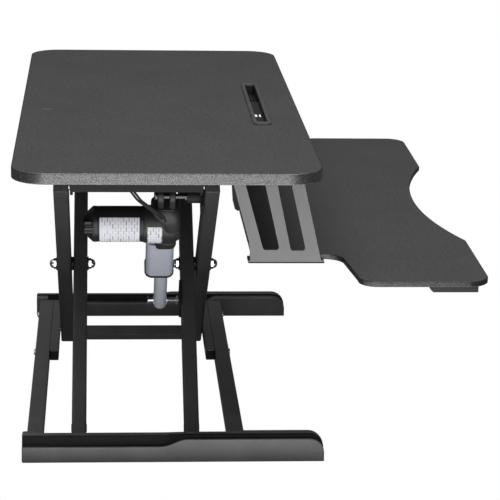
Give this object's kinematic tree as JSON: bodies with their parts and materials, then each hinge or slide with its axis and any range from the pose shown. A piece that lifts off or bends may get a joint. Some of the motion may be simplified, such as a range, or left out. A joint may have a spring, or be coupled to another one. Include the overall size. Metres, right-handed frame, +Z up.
{
  "type": "standing desk converter",
  "caption": "Electric desk riser: worktop with a lowered keyboard tray on a scissor frame of square tubes, raised by a linear actuator.",
  "frame": {"origin": "on the supporting surface, under the middle of the outer box", "axes": "+X to the user's right, +Y away from the user, +Z up"},
  "size_m": [0.9, 0.622, 0.4285],
  "materials": {
    "laminate_board": "dark gray fine-grained laminate on fibreboard",
    "frame_paint": "near-black fine powder coat",
    "bracket_paint": "light gray powder coat",
    "hardware": "bright zinc",
    "black_plastic": "fine moulded black",
    "motor_paint": "satin black",
    "actuator_paint": "satin blue-gray",
    "rubber": "matt",
    "brass": "turned",
    "button_plastic": "fine moulded light gray"
  },
  "bodies": {
    "base": {"foot_left": "frame_paint", "foot_right": "frame_paint", "base_rail_rear": "frame_paint", "base_rail_front": "frame_paint", "base_channel_rear": "frame_paint", "base_channel_front": "frame_paint", "channel_plugs": "black_plastic", "foot_pads": "rubber", "rail_bolts": "hardware", "base_pivot_brackets": "frame_paint", "base_pivot_pins": "hardware"},
    "inner_legs": {"inner_leg_rear": "frame_paint", "inner_leg_front": "frame_paint", "inner_crossbar": "frame_paint", "mid_pivot_bolts": "hardware", "mid_pivot_nuts": "hardware", "pivot_washers": "black_plastic", "rod_bracket": "frame_paint", "top_roller_axles": "hardware"},
    "outer_legs": {"outer_leg_rear": "frame_paint", "outer_leg_front": "frame_paint", "lower_crossbar": "frame_paint", "actuator_bracket": "frame_paint", "actuator_rear_pin": "hardware", "base_roller_axles": "hardware"},
    "base_roller_rear": {"base_roller_rear": "black_plastic"},
    "base_roller_front": {"base_roller_front": "black_plastic"},
    "top_roller_rear": {"top_roller_rear": "black_plastic"},
    "top_roller_front": {"top_roller_front": "black_plastic"},
    "top": {"worktop": "laminate_board", "device_slot_frame": "black_plastic", "hole_plug": "black_plastic", "top_rails": "frame_paint", "top_channel_rear": "frame_paint", "top_channel_front": "frame_paint", "top_crossmember_left": "frame_paint", "top_crossmember_right": "frame_paint", "top_pivot_bolts": "hardware", "tray_bracket_left": "bracket_paint", "tray_bracket_right": "bracket_paint", "keyboard_tray": "laminate_board", "tray_screws": "hardware", "worktop_screws": "hardware", "control_box": "black_plastic", "power_inlet": "black_plastic", "control_panel": "black_plastic"},
    "button_up": {"button_up": "button_plastic"},
    "button_down": {"button_down": "button_plastic"},
    "actuator": {"motor_housing": "motor_paint", "motor_end_cap": "black_plastic", "gearbox_housing": "motor_paint", "rear_clevis": "motor_paint", "actuator_shroud": "actuator_paint", "shroud_rim": "black_plastic", "motor_cable": "rubber"},
    "motor_armature": {"motor_armature": "hardware"},
    "lead_screw": {"lead_screw": "hardware"},
    "rod": {"actuator_rod": "actuator_paint", "drive_nut": "brass", "rod_pin": "hardware"}
  },
  "joints": [
    {"name": "lift", "type": "hinge", "parent": "base", "child": "inner_legs", "pos_m": [-0.276, 0.1485, 0.022], "axis": [0, -1, 0], "range_deg": [-28, 9]},
    {"name": "cross_pivot", "type": "hinge", "parent": "inner_legs", "child": "outer_legs", "pos_m": [-0.04537, 0.1485, 0.1945], "axis": [0, -1, 0], "range_deg": [-18, 56]},
    {"name": "top_pivot", "type": "hinge", "parent": "outer_legs", "child": "top", "pos_m": [-0.276, 0.1485, 0.367], "axis": [0, -1, 0], "range_deg": [-28, 9]},
    {"name": "base_roller_rear_spin", "type": "hinge", "parent": "outer_legs", "child": "base_roller_rear", "pos_m": [0.18525, 0.1485, 0.022], "axis": [0, 1, 0], "continuous": true},
    {"name": "base_roller_front_spin", "type": "hinge", "parent": "outer_legs", "child": "base_roller_front", "pos_m": [0.18525, 0.1485, 0.022], "axis": [0, 1, 0], "continuous": true},
    {"name": "top_roller_rear_spin", "type": "hinge", "parent": "inner_legs", "child": "top_roller_rear", "pos_m": [0.18525, 0.1485, 0.367], "axis": [0, 1, 0], "continuous": true},
    {"name": "top_roller_front_spin", "type": "hinge", "parent": "inner_legs", "child": "top_roller_front", "pos_m": [0.18525, 0.1485, 0.367], "axis": [0, 1, 0], "continuous": true},
    {"name": "actuator_pivot", "type": "hinge", "parent": "outer_legs", "child": "actuator", "pos_m": [-0.24797, 0.1485, 0.34604], "axis": [0, -1, 0], "range_deg": [-1.85, 5.75]},
    {"name": "rod_slide", "type": "slide", "parent": "actuator", "child": "rod", "axis": [0.6136, 0, -0.7896], "range_m": [-0.0548, 0.0177]},
    {"name": "armature_spin", "type": "hinge", "parent": "actuator", "child": "motor_armature", "pos_m": [-0.21054, 0.1485, 0.29787], "axis": [0, 1, 0], "continuous": true},
    {"name": "screw_spin", "type": "hinge", "parent": "actuator", "child": "lead_screw", "pos_m": [-0.24797, 0.111, 0.34604], "axis": [0.6136, 0, -0.7896], "continuous": true},
    {"name": "button_up_press", "type": "slide", "parent": "top", "child": "button_up", "axis": [0, 1, 0], "range_m": [0, 0.0012], "stiffness_N_per_m": 400},
    {"name": "button_down_press", "type": "slide", "parent": "top", "child": "button_down", "axis": [0, 1, 0], "range_m": [0, 0.0012], "stiffness_N_per_m": 400}
  ],
  "couplings": [
    {"joint": "cross_pivot", "follows": "lift", "ratio": -2},
    {"joint": "top_pivot", "follows": "lift", "ratio": 1},
    {"joint": "actuator_pivot", "follows": "lift", "ratio": -0.205},
    {"joint": "rod_slide", "follows": "lift", "m_per_rad": 0.112}
  ]
}
